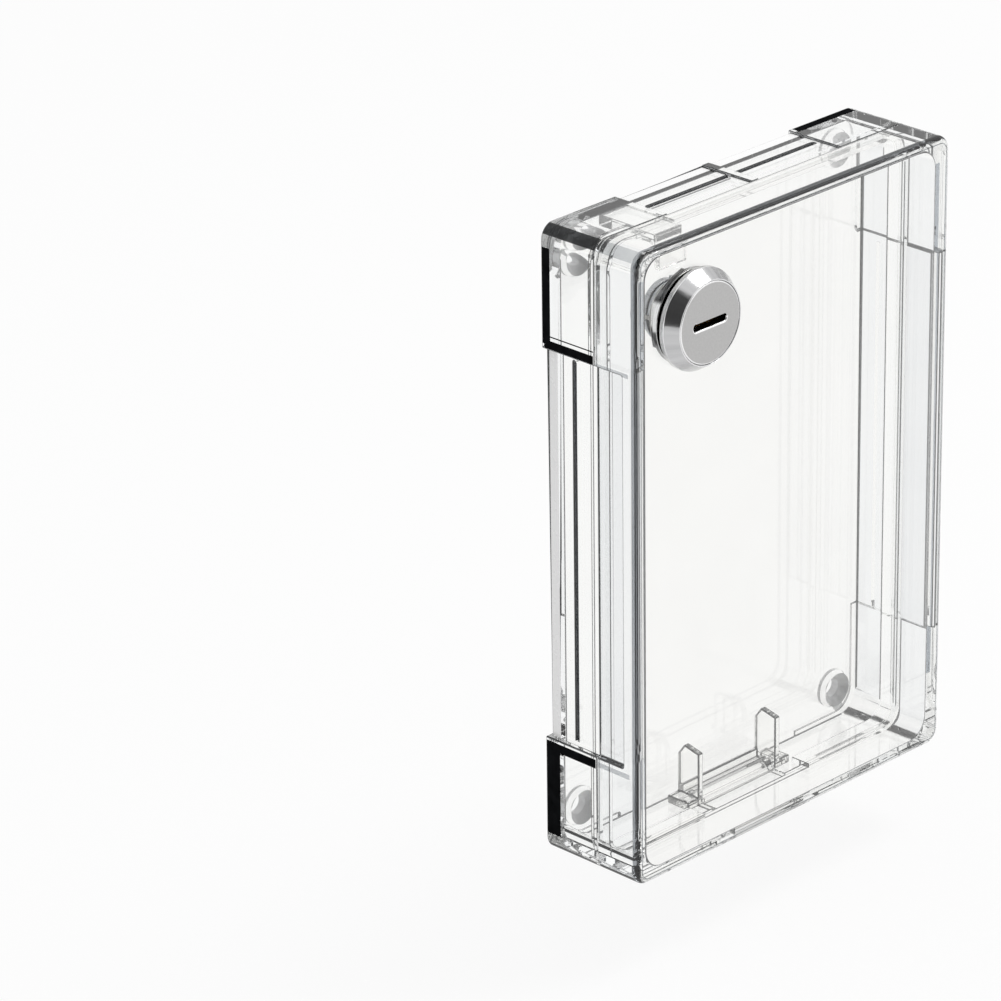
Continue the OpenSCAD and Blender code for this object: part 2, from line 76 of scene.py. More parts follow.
forward = Vector((
    math.sin(camera_turn) * math.cos(camera_drop),
    math.cos(camera_turn) * math.cos(camera_drop),
    -math.sin(camera_drop),
))
level_right = Vector((math.cos(camera_turn), -math.sin(camera_turn), 0))
level_up = level_right.cross(forward)
right = math.cos(camera_roll) * level_right + math.sin(camera_roll) * level_up
up = -math.sin(camera_roll) * level_right + math.cos(camera_roll) * level_up
lens = bpy.data.cameras.new("camera")
lens.sensor_width = 36
lens.lens = 202.115
lens.clip_start = 0.05
lens.clip_end = 20
camera = bpy.data.objects.new("camera", lens)
pose = Matrix((right, up, -forward)).transposed().to_4x4()
pose.translation = aim - forward * aim_distance
camera.matrix_world = pose
scene.collection.objects.link(camera)
scene.camera = camera


# ---- Tray
# The tray is one injection moulding in clear polycarbonate: back plate, feet, walls and lip.
# It is screwed to the wall. The mould leaves a small radius on each of its edges, and painted dark
# shade on these draws them as lines. The corner blocks are so thick that their rims swallow the
# light and look black; that black is painted shade.
def linear(hex_colour):
    parts = [int(hex_colour[i:i + 2], 16) / 255 for i in (1, 3, 5)]
    return [p / 12.92 if p <= 0.04045 else ((p + 0.055) / 1.055) ** 2.4 for p in parts] + [1]


def add_node(tree, kind, values=(), links=(), **settings):
    node = tree.nodes.new(kind)
    for key, value in settings.items():
        setattr(node, key, value)
    for key, value in dict(values).items():
        node.inputs[key].default_value = value
    for key, source in dict(links).items():
        tree.links.new(source, node.inputs[key])
    return node


def new_material(name):
    material = bpy.data.materials.new(name)
    material.use_nodes = True
    material.node_tree.nodes.clear()
    return material, material.node_tree


def grained(tree, place, dark, pale, grain, gloss, **pattern):
    """Tone and gloss that vary together by one pattern; grain is its size in metres."""
    marks = add_node(tree, "ShaderNodeTexNoise", {"Scale": 1 / grain, "Detail": 3, **pattern},
                     {"Vector": place}).outputs["Fac"]
    tone = add_node(tree, "ShaderNodeMix", {"A": linear(dark), "B": linear(pale)},
                    {"Factor": marks}, data_type="RGBA").outputs["Result"]
    rough = add_node(tree, "ShaderNodeMapRange", {"To Min": gloss[0], "To Max": gloss[1]},
                     {"Value": marks}).outputs["Result"]
    return marks, tone, rough


def in_boxes(tree, place, boxes):
    """1 inside any of the boxes ((low x, out, z), (high x, out, z)); x counts from the middle."""
    mirrored = add_node(tree, "ShaderNodeVectorMath", {1: (1, -1, 1)}, {0: place},
                        operation="MULTIPLY")
    apart = add_node(tree, "ShaderNodeSeparateXYZ", links={0: mirrored.outputs[0]})
    side = add_node(tree, "ShaderNodeMath", links={0: apart.outputs[0]}, operation="ABSOLUTE")
    point = add_node(tree, "ShaderNodeCombineXYZ", links={
        0: side.outputs[0], 1: apart.outputs[1], 2: apart.outputs[2]}).outputs[0]
    whole = None
    for low, high in boxes:
        middle = [(a + b) / 2 for a, b in zip(low, high)]
        reach = [(b - a) / 2 for a, b in zip(low, high)]
        off = add_node(tree, "ShaderNodeVectorMath", {1: middle}, {0: point},
                       operation="SUBTRACT")
        off = add_node(tree, "ShaderNodeVectorMath", links={0: off.outputs[0]},
                       operation="ABSOLUTE")
        off = add_node(tree, "ShaderNodeVectorMath", {1: reach}, {0: off.outputs[0]},
                       operation="SUBTRACT")
        off = add_node(tree, "ShaderNodeSeparateXYZ", links={0: off.outputs[0]})
        far = add_node(tree, "ShaderNodeMath", links={0: off.outputs[0], 1: off.outputs[1]},
                       operation="MAXIMUM")
        far = add_node(tree, "ShaderNodeMath", links={0: far.outputs[0], 1: off.outputs[2]},
                       operation="MAXIMUM")
        hit = add_node(tree, "ShaderNodeMath", {1: 0.0}, {0: far.outputs[0]},
                       operation="LESS_THAN").outputs[0]
        if whole:
            hit = add_node(tree, "ShaderNodeMath", links={0: whole, 1: hit},
                           operation="MAXIMUM").outputs[0]
        whole = hit
    return whole


def polycarbonate(name, dark, pale, grain, gloss, clearness=1.0, shine=0.5, boxes=(),
                  outside_only=False):
    """Clear plastic with a gloss and a tone, the tone its own or painted shade, everywhere or only
    inside some boxes.

    Elsewhere, and from inside the plastic if outside_only is set, it is plain and clear.
    """
    material, tree = new_material(name)
    place = add_node(tree, "ShaderNodeTexCoord").outputs["Object"]
    _, tone, rough = grained(tree, place, dark, pale, grain, gloss)
    refraction = 1.585
    skin = add_node(tree, "ShaderNodeBsdfPrincipled",
                    {"IOR": refraction, "Transmission Weight": clearness,
                     "Specular IOR Level": shine},
                    {"Base Color": tone, "Roughness": rough}).outputs["BSDF"]
    if boxes or outside_only:
        plain = add_node(tree, "ShaderNodeBsdfPrincipled",
                         {"Base Color": linear("#FDFEFE"), "IOR": refraction,
                          "Transmission Weight": 1, "Roughness": 0}).outputs["BSDF"]
        where = in_boxes(tree, place, boxes) if boxes else None
        if outside_only:
            inner = add_node(tree, "ShaderNodeNewGeometry").outputs["Backfacing"]
            outer = add_node(tree, "ShaderNodeMath", {0: 1.0}, {1: inner},
                             operation="SUBTRACT").outputs[0]
            where = add_node(tree, "ShaderNodeMath", links={0: where, 1: outer},
                             operation="MULTIPLY").outputs[0] if where else outer
        skin = add_node(tree, "ShaderNodeMixShader",
                        links={0: where, 1: plain, 2: skin}).outputs[0]
    add_node(tree, "ShaderNodeOutputMaterial", links={"Surface": skin})
    return material


# Polished mould: a mirror-smooth skin with hardly any tint.
clear_skin = polycarbonate("clear_polycarbonate_moulded", "#FBFBFA", "#FFFFFE",
                           grain=0.02, gloss=(0, 0))
# The small radii carry painted dark shade and let less light through, so they draw the edges as
# lines.
painted_edge_shade = polycarbonate("clear_polycarbonate_worn_edge", "#0A0B0C", "#4E5154",
                          grain=0.0012, gloss=(0.02, 0.1), clearness=0.55)
# The rolled front edge: its thick part carries painted dark shade, in soft clouds.
painted_roll_shade = polycarbonate("clear_polycarbonate_rolled_edge", "#3A3E43", "#868B91",
                            grain=0.02, gloss=(0.0, 0.03))
# Faces of the vent slots: dull, with painted dark shade that draws them as lines.
painted_slot_shade = polycarbonate("clear_polycarbonate_saw_cut", "#0C0D0E", "#33363A",
                        grain=0.0007, gloss=(0.3, 0.5), clearness=0.3)
# Rims of the corner blocks and the bands beside their steps: the thick plastic looks black there,
# and this black is painted shade.
painted_block_rim_shade = polycarbonate("clear_polycarbonate_block_rim", "#050505", "#1E1F21",
                          grain=0.002, gloss=(0.1, 0.2), clearness=0, shine=0, boxes=[
                              ((0.0505, -0.001, 0.0478), (0.052, 0.0026, 0.0700)),
                              ((0.0505, 0.0009, 0.0464), (0.052, 0.0153, 0.0488)),
                              ((0.0505, 0.0009, 0.0496), (0.052, 0.0153, 0.0499)),
                              ((0.0505, -0.001, -0.0703), (0.052, 0.0044, -0.0473)),
                              ((0.0505, 0.0009, -0.0495), (0.052, 0.0153, -0.0473)),
                              ((0.0290, -0.001, 0.0745), (0.0500, 0.0026, 0.0760))],
                          outside_only=True)
# Arcs of the corners: light is bent away there, and the dark streaks this leaves are painted shade.
painted_arc_streaks = polycarbonate("clear_polycarbonate_arc", "#020202", "#2C2E30",
                            grain=0.0016, gloss=(0.02, 0.08), clearness=0.35, shine=0.05,
                            outside_only=True)
# The same arcs on the cover's thinner wall: only a painted grey shade.
painted_thin_arc_shade = polycarbonate("clear_polycarbonate_arc_tint", "#70757A", "#C4C8CC",
                         grain=0.004, gloss=(0, 0.03))
# Edge of the back plate: a satin texture from the mould, pale, as it scatters what comes along it.
satin_edge = polycarbonate("clear_polycarbonate_satin_edge", "#FAFAFA", "#FFFFFF",
                           grain=0.004, gloss=(0.2, 0.35), clearness=0, shine=1, boxes=[
                               ((0.0490, -0.001, -0.0466), (0.0500, 0.0036, 0.0466)),
                               ((0.0, -0.001, 0.0740), (0.0480, 0.0036, 0.0747))],
                           outside_only=True)
# Where cover and tray meet along the side walls: painted bluish-grey shade, for the light that
# comes along the wall.
painted_seam_shade = polycarbonate("clear_polycarbonate_seam", "#6B747F", "#99A2AD",
                          grain=0.01, gloss=(0, 0.03), boxes=[
                              ((0.0484, 0.0150, -0.0600), (0.0505, 0.0165, 0.0660))])
# The painted black bands beside the blocks go on over the cover, where the wall is thinner: only a
# painted grey shade.
painted_band_shade = polycarbonate("clear_polycarbonate_band_tint", "#70757A", "#B4B8BC",
                          grain=0.002, gloss=(0, 0.03), boxes=[
                              ((0.0505, 0.0150, 0.0464), (0.052, 0.0255, 0.0474)),
                              ((0.0505, 0.0150, -0.0488), (0.052, 0.0255, -0.0476))],
                          outside_only=True)
# Screw seats and countersinks: machined, so pale and frosted.
machined = polycarbonate("clear_polycarbonate_machined", "#F2F3F4", "#FFFFFF",
                         grain=0.0006, gloss=(0.3, 0.45), clearness=0.3)
# Walls seen along their depth: a faint painted blue-grey shade.
painted_wall_shade = polycarbonate("clear_polycarbonate_wall", "#ECEEF0", "#F4F5F6",
                          grain=0.015, gloss=(0, 0))
# The arc at the bottom left is seen through the side wall, so its painted dark shade shows from
# inside as well.
painted_low_arc_shade = polycarbonate("clear_polycarbonate_low_arc", "#020202", "#2C2E30",
                        grain=0.0016, gloss=(0.02, 0.08), clearness=0.1, shine=0.05)
# Roll at the right-hand side, seen edge on through the whole wall: painted near-black shade.
painted_far_roll_shade = polycarbonate("clear_polycarbonate_far_roll", "#101214", "#2E3136",
                         grain=0.02, gloss=(0, 0.03))
# Each face of a moulded piece takes one of these; the rounded edges take the second, the painted
# edge shade.
CLEAR, EDGE_SHADE, ROLLED, SLOT_SHADE, RIM, ARC, THIN_ARC_SHADE, SATIN, SEAM, BAND, BORED, WALL, LOW, FAR = range(14)
mould_finishes = [clear_skin, painted_edge_shade, painted_roll_shade, painted_slot_shade, painted_block_rim_shade, painted_arc_streaks, painted_thin_arc_shade,
                  satin_edge, painted_seam_shade, painted_band_shade, machined, painted_wall_shade, painted_low_arc_shade, painted_far_roll_shade]


def smooth_runs(edges, onward=-0.82):
    """Numbers the runs of sharp edges that follow each other, each bent by less than 35 degrees."""
    run = {}
    for start in edges:
        if start in run:
            continue
        run[start] = number = len(run)
        waiting = [start]
        while waiting:
            edge = waiting.pop()
            for v in edge.verts:
                way = (edge.other_vert(v).co - v.co).normalized()
                for other in v.link_edges:
                    if other in edges and other not in run:
                        if way.dot((other.other_vert(v).co - v.co).normalized()) < onward:
                            run[other] = number
                            waiting.append(other)
    return run


def edge_room(edge, reach, run, spread=2.2, least=0.25):
    """Share of the radius that fits on an edge, from the nearest edge that runs beside it.

    A rounded edge needs spread times its radius; one that gets less than the least share of it
    stays sharp.
    """
    near = reach * spread
    a, b = (v.co for v in edge.verts)
    along = (b - a).normalized()
    length = (b - a).length
    for face in edge.link_faces:
        for other in face.edges:
            if other is edge or set(other.verts) & set(edge.verts):
                continue
            c, d = (v.co for v in other.verts)
            margin = -1e-6 if other in run and run[other] == run[edge] else reach
            for p in (c, d, (c + d) / 2):
                t = (p - a).dot(along)
                if -margin < t < length + margin:
                    near = min(near, (p - a - along * t).length)
            t0, t1 = sorted(((c - a).dot(along), (d - a).dot(along)))
            if t1 > 1e-6 and t0 < length - 1e-6 and t1 > t0 + 1e-7:
                m = (max(t0, 0) + min(t1, length)) / 2
                k = (m - (c - a).dot(along)) / ((d - a).dot(along) - (c - a).dot(along))
                p = c + (d - c) * k
                near = min(near, (p - a - along * m).length)
    room = min(1, near / (reach * spread))
    return room if room > least else 0


def crossings(shape, excess=1.0005):
    """Points where a flat face's outline crosses itself; its triangles then cover too much."""
    shape.calc_loop_triangles()
    covered = {}
    for part in shape.loop_triangles:
        covered[part.polygon_index] = covered.get(part.polygon_index, 0) + part.area
    points = []
    for face in shape.polygons:
        if covered[face.index] < face.area * excess + 1e-10:
            continue
        ring = [shape.vertices[i].co for i in face.vertices]
        main = max(range(3), key=lambda axis: abs(face.normal[axis]))
        flat = [Vector([v[axis] for axis in range(3) if axis != main]) for v in ring]
        count = len(ring)
        for i in range(count):
            start, end = flat[i], flat[(i + 1) % count]
            for j in range(i + 2, count - (i == 0)):
                hit = intersect_line_line_2d(start, end, flat[j], flat[(j + 1) % count])
                if hit:
                    side = end - start
                    share = (hit - start).dot(side) / max(side.length_squared, 1e-16)
                    points.append(ring[i].lerp(ring[(i + 1) % count], share))
    return points


def settle(piece, radius, arcs, rounds=10):
    """Takes the radius off where two rounded edges would run into each other, off arcs first."""
    mesh = piece.data
    weight = mesh.attributes["bevel_weight_edge"].data
    reach = radius * 1.6
    for _ in range(rounds):
        piece.update_tag()
        ready = piece.evaluated_get(bpy.context.evaluated_depsgraph_get())
        points = crossings(ready.to_mesh())
        ready.to_mesh_clear()
        if not points:
            return
        less = set()
        for p in points:
            near = set()
            for edge in mesh.edges:
                if weight[edge.index].value > 0:
                    a, b = (mesh.vertices[i].co for i in edge.vertices)
                    t = min(1, max(0, (p - a).dot(b - a) / max((b - a).length_squared, 1e-16)))
                    if (a.lerp(b, t) - p).length < reach:
                        near.add(edge.index)
            bent = {arcs[k] for k in near if k in arcs}
            less |= {k for k in arcs if arcs[k] in bent and weight[k].value > 0} if bent else near
        for k in less:
            weight[k].value = weight[k].value / 2 if weight[k].value > 0.5 else 0


def rounded_copy(name, node, radius, body, finishes, finish_of=None, share=None,
                 seat=None, turn=30):
    """Welded copy of a CAD node whose sharp edges get a small radius; it stands for that node.

    Edges that turn by more than the given angle in degrees are sharp. A seat (axis, level, shift)
    moves the vertices at one level, and leaves room for a film of glue.
    """
    mesh = nodes[node].data.copy()
    mesh.name = name
    mesh.materials.clear()
    for finish in finishes:
        mesh.materials.append(finish)
    shape = bmesh.new()
    shape.from_mesh(mesh)
    bmesh.ops.remove_doubles(shape, verts=shape.verts, dist=2e-6)
    bmesh.ops.dissolve_degenerate(shape, edges=shape.edges, dist=1e-6)
    bmesh.ops.dissolve_limit(shape, angle_limit=math.radians(0.3), verts=shape.verts,
                             edges=shape.edges)
    if seat:
        axis, level, shift = seat
        for v in shape.verts:
            if abs(v.co[axis] - level) < 1e-5:
                v.co[axis] += shift
    weight = shape.edges.layers.float.new("bevel_weight_edge")
    for face in shape.faces:
        face.smooth = True
        face.material_index = finish_of(face) if finish_of else 0
    shape.edges.index_update()
    sharp = {edge for edge in shape.edges
             if len(edge.link_faces) == 2 and edge.calc_face_angle(0) > math.radians(turn)}
    run = smooth_runs(sharp)
    for edge in sharp:
        wish = share(edge) if share else 1
        edge[weight] = wish * edge_room(edge, radius * wish, run) if wish else 0
        edge.smooth = False
    arc_step = radius * 5
    short = {edge for edge in sharp if edge.calc_length() < arc_step}
    arcs = {edge.index: number for edge, number in smooth_runs(short).items()}
    shape.to_mesh(mesh)
    shape.free()
    piece = bpy.data.objects.new(name, mesh)
    scene.collection.objects.link(piece)
    rounding = piece.modifiers.new("mould_radius", "BEVEL")
    rounding.limit_method = "WEIGHT"
    rounding.width = radius
    rounding.segments = 3
    rounding.use_clamp_overlap = False
    rounding.miter_outer = "MITER_ARC"
    rounding.material = 1 if len(finishes) > 1 else -1
    settle(piece, radius, arcs)
    shading = piece.modifiers.new("flat_faces_stay_flat", "WEIGHTED_NORMAL")
    shading.weight = 90
    shading.keep_sharp = True
    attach(piece, body)
    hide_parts(node)
    return piece


# Places in metres: across and up from the middle of the box, and out from the wall.
floor_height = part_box("hinge_bracket")[0].z
roof_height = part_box("keeper")[1].z
block_end, block_side, block_face = 0.0465, 0.028, 0.0505
right_wall, wall_skin, arc_side, top_skin = 0.045, 0.047, 0.0475, 0.074
plate_front, cove_side, cove_end = 0.0038, 0.0462, 0.0712
vent_rear, vent_edges, vent_end = 0.0083, (0.008, 0.0096), 0.05
seat_side, seat_end, seat_front = 0.041, 0.066, 0.0042
lip_rear, lip_front, lip_side, lip_end = 0.012, 0.0176, 0.046, 0.0726
seam_rear, seam_front, outer_side, outer_end = 0.0155, 0.016, 0.0496, 0.0740
arc_first, arc_last = 28, 72


def on_arc(face):
    """True for an outward face on a corner's arc, between two angles up or down from the side."""
    c, n = face.calc_center_median(), face.normal
    turn = math.degrees(math.atan2(abs(n.z), abs(n.x)))
    return (abs(n.y) < 0.01 and abs(c.x) > arc_side and arc_first < turn < arc_last
            and n.dot(Vector((c.x, 0, c.z))) > 0)


def tray_finish(face):
    """Finish of a face by its place, some of them painted shade; the arcs of the left-hand corners
    alone get painted dark shade.
    """
    c, n = face.calc_center_median(), face.normal
    out = -c.y
    outward = n.dot(Vector((c.x, 0, c.z))) > 0
    from_screw = math.hypot(abs(c.x) - seat_side, abs(c.z) - seat_end)
    seat_reach, seat_facet = 0.0075, 0.00001
    if n.y < -0.99 and abs(out - vent_rear) < 0.0002 and c.x < right_wall:
        return SLOT_SHADE
    if from_screw < seat_reach and face.calc_area() < seat_facet and out < seat_front:
        return BORED
    if on_arc(face) and c.x < 0:
        return ARC if c.z > 0 else LOW
    if outward and abs(n.x) > 0.99:
        return RIM if abs(c.x) > block_face else SATIN
    if outward and n.z > 0.99 and c.z > top_skin:
        return RIM if c.x > block_side else SATIN
    if n.y < -0.99 and abs(out - lip_front) < 0.0002 and c.x > lip_side and c.z > -block_end:
        return SLOT_SHADE
    return WALL if abs(n.x) > 0.99 and c.x > wall_skin else CLEAR


def tray_share(edge):
    """Share of the radius: all of it in the inner rear corners, hardly any at the seam and lip.

    The screw seats, which are machined, and the right-hand vent stay sharp.
    """
    a, b = (v.co for v in edge.verts)
    m = (a + b) / 2
    out = -m.y
    from_screw = min((Vector((m.x, m.z)) - Vector((sx * seat_side, sz * seat_end))).length
                     for sx in (-1, 1) for sz in (-1, 1))
    seat_radius, seat_step = 0.0048, 0.002
    if from_screw < seat_radius and (b - a).length < seat_step:
        return 0
    if abs(out - plate_front) < 1e-4 and (abs(m.x) > cove_side or abs(m.z) > cove_end):
        return 1
    if m.x > right_wall and vent_edges[0] < out < vent_edges[1] and abs(m.z) < vent_end:
        return 0
    if out > seam_rear and max(abs(m.x) - outer_side, abs(m.z) - outer_end) > 0:
        return 0.3
    if out > lip_rear and m.x < right_wall and abs(m.z) < lip_end:
        return 0.3
    return 0.6


rounded_copy("tray", "base_shell", 0.00055, "tray", mould_finishes,
             tray_finish, tray_share)


# ---- Hinge bracket and rod
# Two cheeks on a low strip, bonded to the tray's floor with solvent; the bond line is a film
# a fiftieth of a millimetre thick. They trap a clear rod, on which the cover turns.
bond = 0.00002
rounded_copy("hinge_cheeks", "hinge_bracket", 0.00028, "tray",
             mould_finishes, seat=(2, floor_height, bond))
rounded_copy("hinge_pin", "hinge_rod", 0.0002, "tray", mould_finishes)


# ---- Keeper
# A web and a catch of the same clear plastic, bonded under the tray's top wall. The lock's cam
# turns up behind the catch.
rounded_copy("lock_keeper", "keeper", 0.0002, "tray", [clear_skin],
             seat=(2, roof_height, -bond))


# ---- Cover
# The cover is moulded like the tray, with a thicker front panel whose rim is rolled all round.
# Seen along the rim, the outer part of the roll carries painted smoky shade, then comes a clear
# line and a thin painted dark line where the roll runs out into the panel.
panel_out = -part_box("cover_shell")[0].y
roll = 0.0016
painted_shade_to, clear_to = 52, 78


def cover_finish(face):
    """Finish of a face by its place; round the roll the bands of painted shade go by the angle to
    the front.
    """
    c, n = face.calc_center_median(), face.normal
    out = -c.y
    if out > panel_out - roll - 1e-5 and 0.002 < abs(n.y) < 0.9995:
        front = math.degrees(math.asin(min(1, abs(n.y))))
        if front < painted_shade_to:
            return FAR if n.x > 0.3 else ROLLED
        return CLEAR if front < clear_to else ROLLED
    if on_arc(face) and c.x < 0:
        return THIN_ARC_SHADE if c.z > 0 else LOW
    if abs(n.x) > 0.99 and abs(c.x) > block_face:
        return BAND
    if n.y > 0.99 and out < seam_front:
        return SEAM
    return WALL if abs(n.y) < 0.01 and abs(c.x) > wall_skin else CLEAR


def cover_share(edge):
    """At the seam the cover's edge is nearly sharp, as the mould parts there; not at the right."""
    m = (edge.verts[0].co + edge.verts[1].co) / 2
    return 0.4 if -m.y < seam_front and abs(m.x) < 0.0512 and m.x < right_wall else 1


rounded_copy("cover", "cover_shell", 0.00035, "cover", mould_finishes,
             cover_finish, cover_share)


# ---- Snap hook
# A split ring with a tongue, welded end to end to the cover's bottom wall; it snaps on the rod.
rounded_copy("cover_snap_hook", "cover_hook", 0.0002, "cover", mould_finishes)


# ---- Lock housing
# A zinc die casting with a bevelled head, turned on a lathe and plated with satin chrome. Its
# barrel goes through the panel and has two flats and a coarse thread for the nut.
lock_joint = next(j for j in frame["joints"] if j["name"] == "lock_turn")
lock_x, lock_z = lock_joint["pos_m"][0], lock_joint["pos_m"][2]
head_rear = 0.0284
barrel_rear = 0.0201
barrel_radius, thread_depth, thread_pitch, flats_half = 0.008, 0.0004, 0.0009, 0.007


def metal(name, dull, bright, grain, gloss, stretch=(1, 1, 1), dent=0.00001, turned=False):
    """Metal whose tone, gloss and dents follow one pattern; grain is its size in metres.

    A turned one has its pattern laid round the lock's axis, as the lathe leaves it.
    """
    material, tree = new_material(name)
    place = add_node(tree, "ShaderNodeTexCoord").outputs["Object"]
    centred = add_node(tree, "ShaderNodeMapping",
                       {"Location": (-lock_x, 0, -lock_z)} if turned else {"Scale": stretch},
                       {"Vector": place}).outputs["Vector"]
    if turned:
        flat = add_node(tree, "ShaderNodeVectorMath", {1: (1, 0, 1)}, {0: centred},
                        operation="MULTIPLY").outputs["Vector"]
        spoke = add_node(tree, "ShaderNodeVectorMath", links={0: flat},
                         operation="NORMALIZE").outputs["Vector"]
        centred = add_node(tree, "ShaderNodeVectorMath", {"Scale": 0.01}, {0: spoke},
                           operation="SCALE").outputs["Vector"]
    marks, tone, rough = grained(tree, centred, dull, bright, grain, gloss,
                                 Detail=4, Roughness=0.6)
    relief = add_node(tree, "ShaderNodeBump", {"Strength": 0.3, "Distance": dent},
                      {"Height": marks}).outputs["Normal"]
    skin = add_node(tree, "ShaderNodeBsdfPrincipled", {"Metallic": 1},
                    {"Base Color": tone, "Roughness": rough, "Normal": relief})
    add_node(tree, "ShaderNodeOutputMaterial", links={"Surface": skin.outputs["BSDF"]})
    return material


turned_chrome = metal("satin_chrome_turned", "#A9A9AA", "#DADADB", 0.0022, (0.10, 0.2), turned=True)
polished_rim = metal("chrome_polished_edge", "#D8D8DA", "#F0F0F0", 0.002, (0.06, 0.12))
plated_thread = metal("nickel_plated_thread", "#8C8C8A", "#B9B8B4", 0.0008, (0.25, 0.4))


def head_finish(face):
    """The thread's plating on all that lies behind the head, chrome on the head itself."""
    return 2 if -face.calc_center_median().y < head_rear - 1e-5 else 0


housing = rounded_copy("lock_head_and_barrel", "lock_housing", 0.00018, "cover",
                       [turned_chrome, polished_rim, plated_thread], head_finish)
shape = bmesh.new()
shape.from_mesh(housing.data)
root = barrel_radius - thread_depth
for v in shape.verts:
    dx, dz = v.co.x - lock_x, v.co.z - lock_z
    reach = math.hypot(dx, dz)
    if reach > root and barrel_rear - 1e-5 < -v.co.y < head_rear - 1e-4:
        v.co.x, v.co.z = lock_x + dx * root / reach, lock_z + dz * root / reach
shape.to_mesh(housing.data)
shape.free()


def grown(name, tree, inputs, body, stands_for=()):
    """Mesh made by a Geometry Nodes tree with the given named inputs, as one plain piece."""
    source = bpy.data.objects.new(name + "_source", bpy.data.meshes.new(name + "_source"))
    scene.collection.objects.link(source)
    grower = source.modifiers.new("grow", "NODES")
    grower.node_group = tree
    for item in tree.interface.items_tree:
        if item.in_out == "INPUT" and item.name in inputs:
            grower[item.identifier] = inputs[item.name]
    ready = source.evaluated_get(bpy.context.evaluated_depsgraph_get())
    mesh = bpy.data.meshes.new_from_object(ready)
    mesh.name = name
    bpy.data.objects.remove(source)
    piece = bpy.data.objects.new(name, mesh)
    scene.collection.objects.link(piece)
    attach(piece, body)
    for node in stands_for:
        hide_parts(node)
    return piece


def new_tree(name, sizes):
    tree = bpy.data.node_groups.new(name, "GeometryNodeTree")
    for label, kind, value in sizes:
        tree.interface.new_socket(label, in_out="INPUT", socket_type=kind).default_value = value
    tree.interface.new_socket("Geometry", in_out="OUTPUT", socket_type="NodeSocketGeometry")
    return tree, add_node(tree, "NodeGroupInput")


def end_tree(tree, geometry, finish):
    whole = add_node(tree, "GeometryNodeRealizeInstances", links={0: geometry}).outputs[0]
    coated = add_node(tree, "GeometryNodeSetMaterial", {"Material": finish}, {"Geometry": whole})
    add_node(tree, "NodeGroupOutput", links={0: coated.outputs[0]})


# The thread: a ridge with a square section on edge, wound round the barrel and cut off at its
# two flats.
thread_start, thread_gaps = 0.0002, 0.0008
tree, sizes = new_tree("barrel_thread", [
    ("Turns", "NodeSocketFloat", 8.0), ("Radius", "NodeSocketFloat", 0.0076),
    ("Length", "NodeSocketFloat", 0.0075), ("Ridge", "NodeSocketFloat", 0.0005),
    ("Half flats", "NodeSocketFloat", 0.0069)])
wind = add_node(tree, "GeometryNodeCurveSpiral", {"Resolution": 72}, {
    "Rotations": sizes.outputs["Turns"], "Start Radius": sizes.outputs["Radius"],
    "End Radius": sizes.outputs["Radius"], "Height": sizes.outputs["Length"]}).outputs[0]
where = add_node(tree, "GeometryNodeInputPosition").outputs[0]
apart = add_node(tree, "ShaderNodeSeparateXYZ", links={0: where})
low = add_node(tree, "ShaderNodeMath", {1: -1.0}, {0: sizes.outputs["Half flats"]},
               operation="MULTIPLY")
held = add_node(tree, "ShaderNodeClamp", links={
    "Value": apart.outputs["Y"], "Min": low.outputs[0], "Max": sizes.outputs["Half flats"]})
again = add_node(tree, "ShaderNodeCombineXYZ",
                 links={"X": apart.outputs["X"], "Y": held.outputs[0], "Z": apart.outputs["Z"]})
trimmed = add_node(tree, "GeometryNodeSetPosition",
                   links={"Geometry": wind, "Position": again.outputs[0]}).outputs[0]
stood = add_node(tree, "GeometryNodeTransform",
                 {"Translation": (lock_x, -barrel_rear - thread_start, lock_z),
                  "Rotation": (math.radians(90), 0, 0)}, {"Geometry": trimmed}).outputs[0]
ridge = add_node(tree, "GeometryNodeCurvePrimitiveCircle", {"Resolution": 4},
                 {"Radius": sizes.outputs["Ridge"]}).outputs["Curve"]
wound = add_node(tree, "GeometryNodeCurveToMesh", {"Fill Caps": True},
                 {"Curve": stood, "Profile Curve": ridge}).outputs[0]
end_tree(tree, wound, plated_thread)
thread_length = head_rear - barrel_rear - thread_gaps
grown("barrel_thread", tree, {
    "Turns": thread_length / thread_pitch, "Radius": barrel_radius - thread_depth,
    "Length": thread_length, "Ridge": thread_depth, "Half flats": flats_half - thread_depth},
    "cover")


# ---- Gasket
# A thin ring die-cut from black rubber sheet, squeezed between the head and the panel.
rubber, tree = new_material("black_rubber_die_cut")
place = add_node(tree, "ShaderNodeTexCoord").outputs["Object"]
bloom, tone, rough = grained(tree, place, "#0C0C0C", "#242423", grain=0.0004, gloss=(0.6, 0.9))
relief = add_node(tree, "ShaderNodeBump", {"Strength": 0.4, "Distance": 0.00003},
                  {"Height": bloom}).outputs["Normal"]
skin = add_node(tree, "ShaderNodeBsdfPrincipled", links={
    "Base Color": tone, "Roughness": rough, "Normal": relief})
add_node(tree, "ShaderNodeOutputMaterial", links={"Surface": skin.outputs["BSDF"]})
rounded_copy("lock_gasket", "head_gasket", 0.0001, "cover", [rubber])


# ---- Backing washer
# A round steel washer with a bevelled rear edge, turned and nickel plated. It spreads the
# nut's load on the inside of the panel.
# Its light and dark rays are painted reflections, a ramp of tones round the lock's axis.
washer_painted_reflections, tree = new_material("nickel_plate_turned_washer")
place = add_node(tree, "ShaderNodeTexCoord").outputs["Object"]
centred = add_node(tree, "ShaderNodeMapping",
                   {"Location": (-lock_x, lock_z, 0), "Rotation": (math.radians(90), 0, 0)},
                   {"Vector": place}).outputs["Vector"]
angle = add_node(tree, "ShaderNodeTexGradient", {}, {"Vector": centred},
                 gradient_type="RADIAL").outputs["Fac"]
lathe = add_node(tree, "ShaderNodeTexNoise", {"Scale": 900, "Detail": 4},
                 {"Vector": place}).outputs["Fac"]
bands = add_node(tree, "ShaderNodeValToRGB", links={"Fac": angle})
